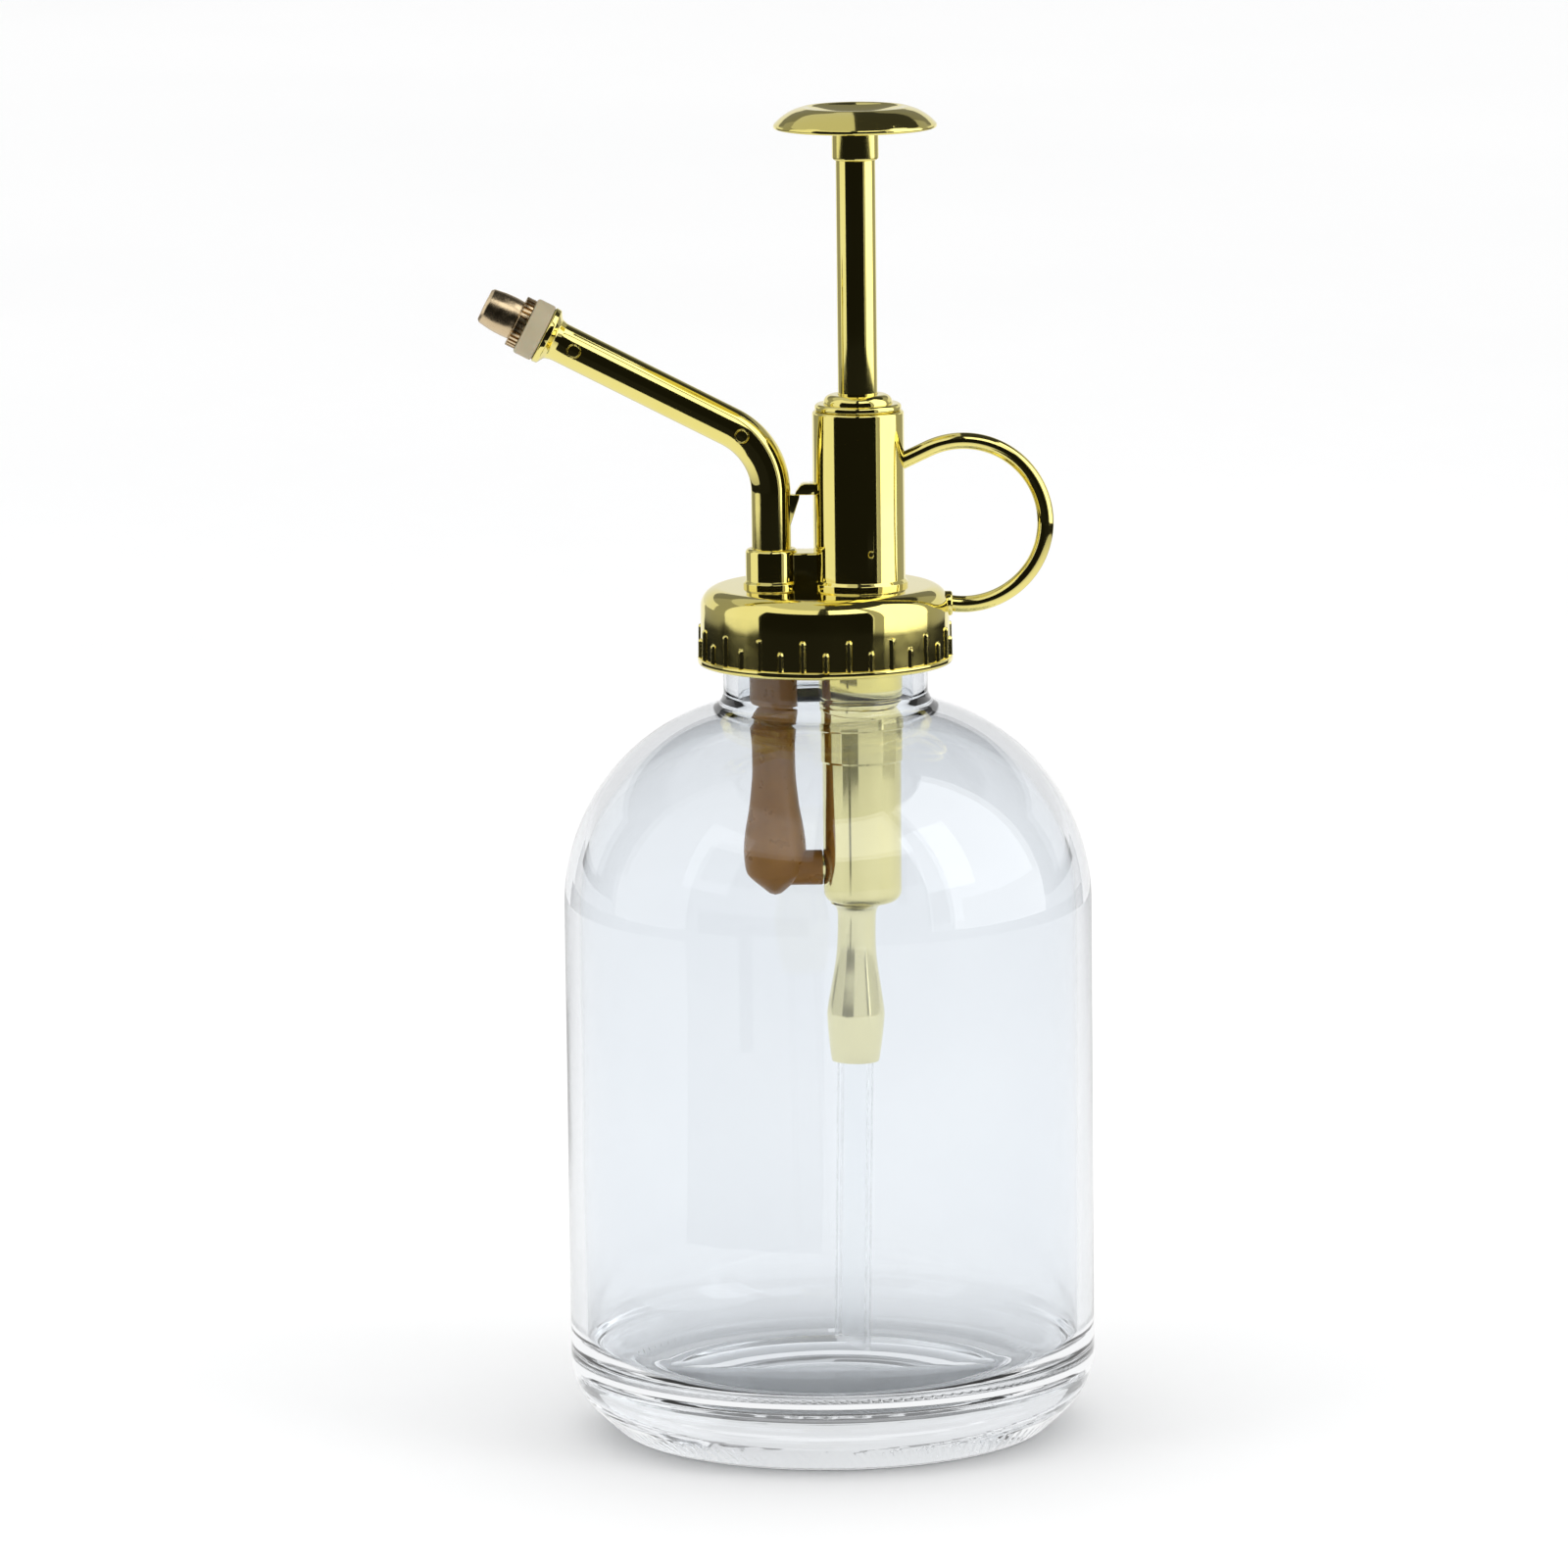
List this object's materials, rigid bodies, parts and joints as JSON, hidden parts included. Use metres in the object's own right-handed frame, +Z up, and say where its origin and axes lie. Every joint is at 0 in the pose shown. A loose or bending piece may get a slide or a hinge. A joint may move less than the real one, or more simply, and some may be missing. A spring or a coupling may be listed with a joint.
{
  "type": "hand mister",
  "caption": "Glass hand mister: round-shouldered bottle, ribbed gold screw cap, plunger pump with thumb button and finger ring, bent spout with a small brass mist nozzle.",
  "frame": {"origin": "centre of the bottle's foot, on the table it stands on", "axes": "+Z up along the bottle's axis, +X towards the finger ring, -X towards the spout, -Y the front"},
  "size_m": [0.086, 0.075, 0.1894],
  "materials": {
    "glass": "clear, smooth",
    "gold": "gold-coloured vacuum plating on moulded plastic, mirror bright",
    "brass": "turned, dull bright, knurled foot",
    "cream_seal": "soft beige washer",
    "amber_plastic": "translucent brown moulding",
    "natural_plastic": "translucent tube and pump parts",
    "gasket_rubber": "soft white gasket",
    "black_rubber": "small seals",
    "spring_steel": "bright drawn wire"
  },
  "bodies": {
    "bottle": {"bottle": "glass"},
    "gasket": {"cap_gasket": "gasket_rubber"},
    "head": {"screw_cap": "gold", "pump_body": "gold", "finger_ring": "gold", "gland_cap": "gold", "rod_seal": "black_rubber", "pump_cylinder": "gold", "ball_cage": "natural_plastic", "suction_stem": "gold", "dip_tube": "natural_plastic", "delivery_elbow": "amber_plastic", "spout": "gold", "spout_seal": "black_rubber", "return_spring": "spring_steel"},
    "plunger": {"plunger_rod": "gold", "thumb_button": "gold", "piston": "natural_plastic", "piston_seal": "black_rubber"},
    "inlet_valve": {"inlet_ball": "spring_steel"},
    "outlet_valve": {"outlet_ball": "spring_steel"},
    "washer": {"nozzle_washer": "cream_seal"},
    "nozzle": {"nozzle": "brass", "swirl_disc": "natural_plastic"}
  },
  "joints": [
    {"name": "cap_rise", "type": "slide", "parent": "bottle", "child": "gasket", "axis": [0, 0, 1], "range_m": [0, 0.0045]},
    {"name": "cap_turn", "type": "hinge", "parent": "gasket", "child": "head", "pos_m": [0, 0, 0.115], "axis": [0, 0, 1], "range_deg": [0, 450]},
    {"name": "plunger_press", "type": "slide", "parent": "head", "child": "plunger", "axis": [0, 0, -1], "range_m": [0, 0.0325], "stiffness_N_per_m": 250, "springref_m": -0.012, "deforming": ["return_spring"]},
    {"name": "inlet_ball_lift", "type": "slide", "parent": "head", "child": "inlet_valve", "axis": [0, 0, 1], "range_m": [0, 0.0015]},
    {"name": "outlet_ball_lift", "type": "slide", "parent": "head", "child": "outlet_valve", "axis": [0, 0, 1], "range_m": [0, 0.0015]},
    {"name": "nozzle_advance", "type": "slide", "parent": "head", "child": "washer", "axis": [-0.8886, 0, 0.4587], "range_m": [0, 0.0008]},
    {"name": "nozzle_turn", "type": "hinge", "parent": "washer", "child": "nozzle", "pos_m": [-0.03926, 0, 0.15772], "axis": [-0.8886, 0, 0.4587], "range_deg": [0, 360]}
  ],
  "couplings": [
    {"joint": "cap_rise", "follows": "cap_turn", "m_per_rad": 0.00055704},
    {"joint": "nozzle_turn", "follows": "nozzle_advance", "rad_per_m": 7854}
  ]
}
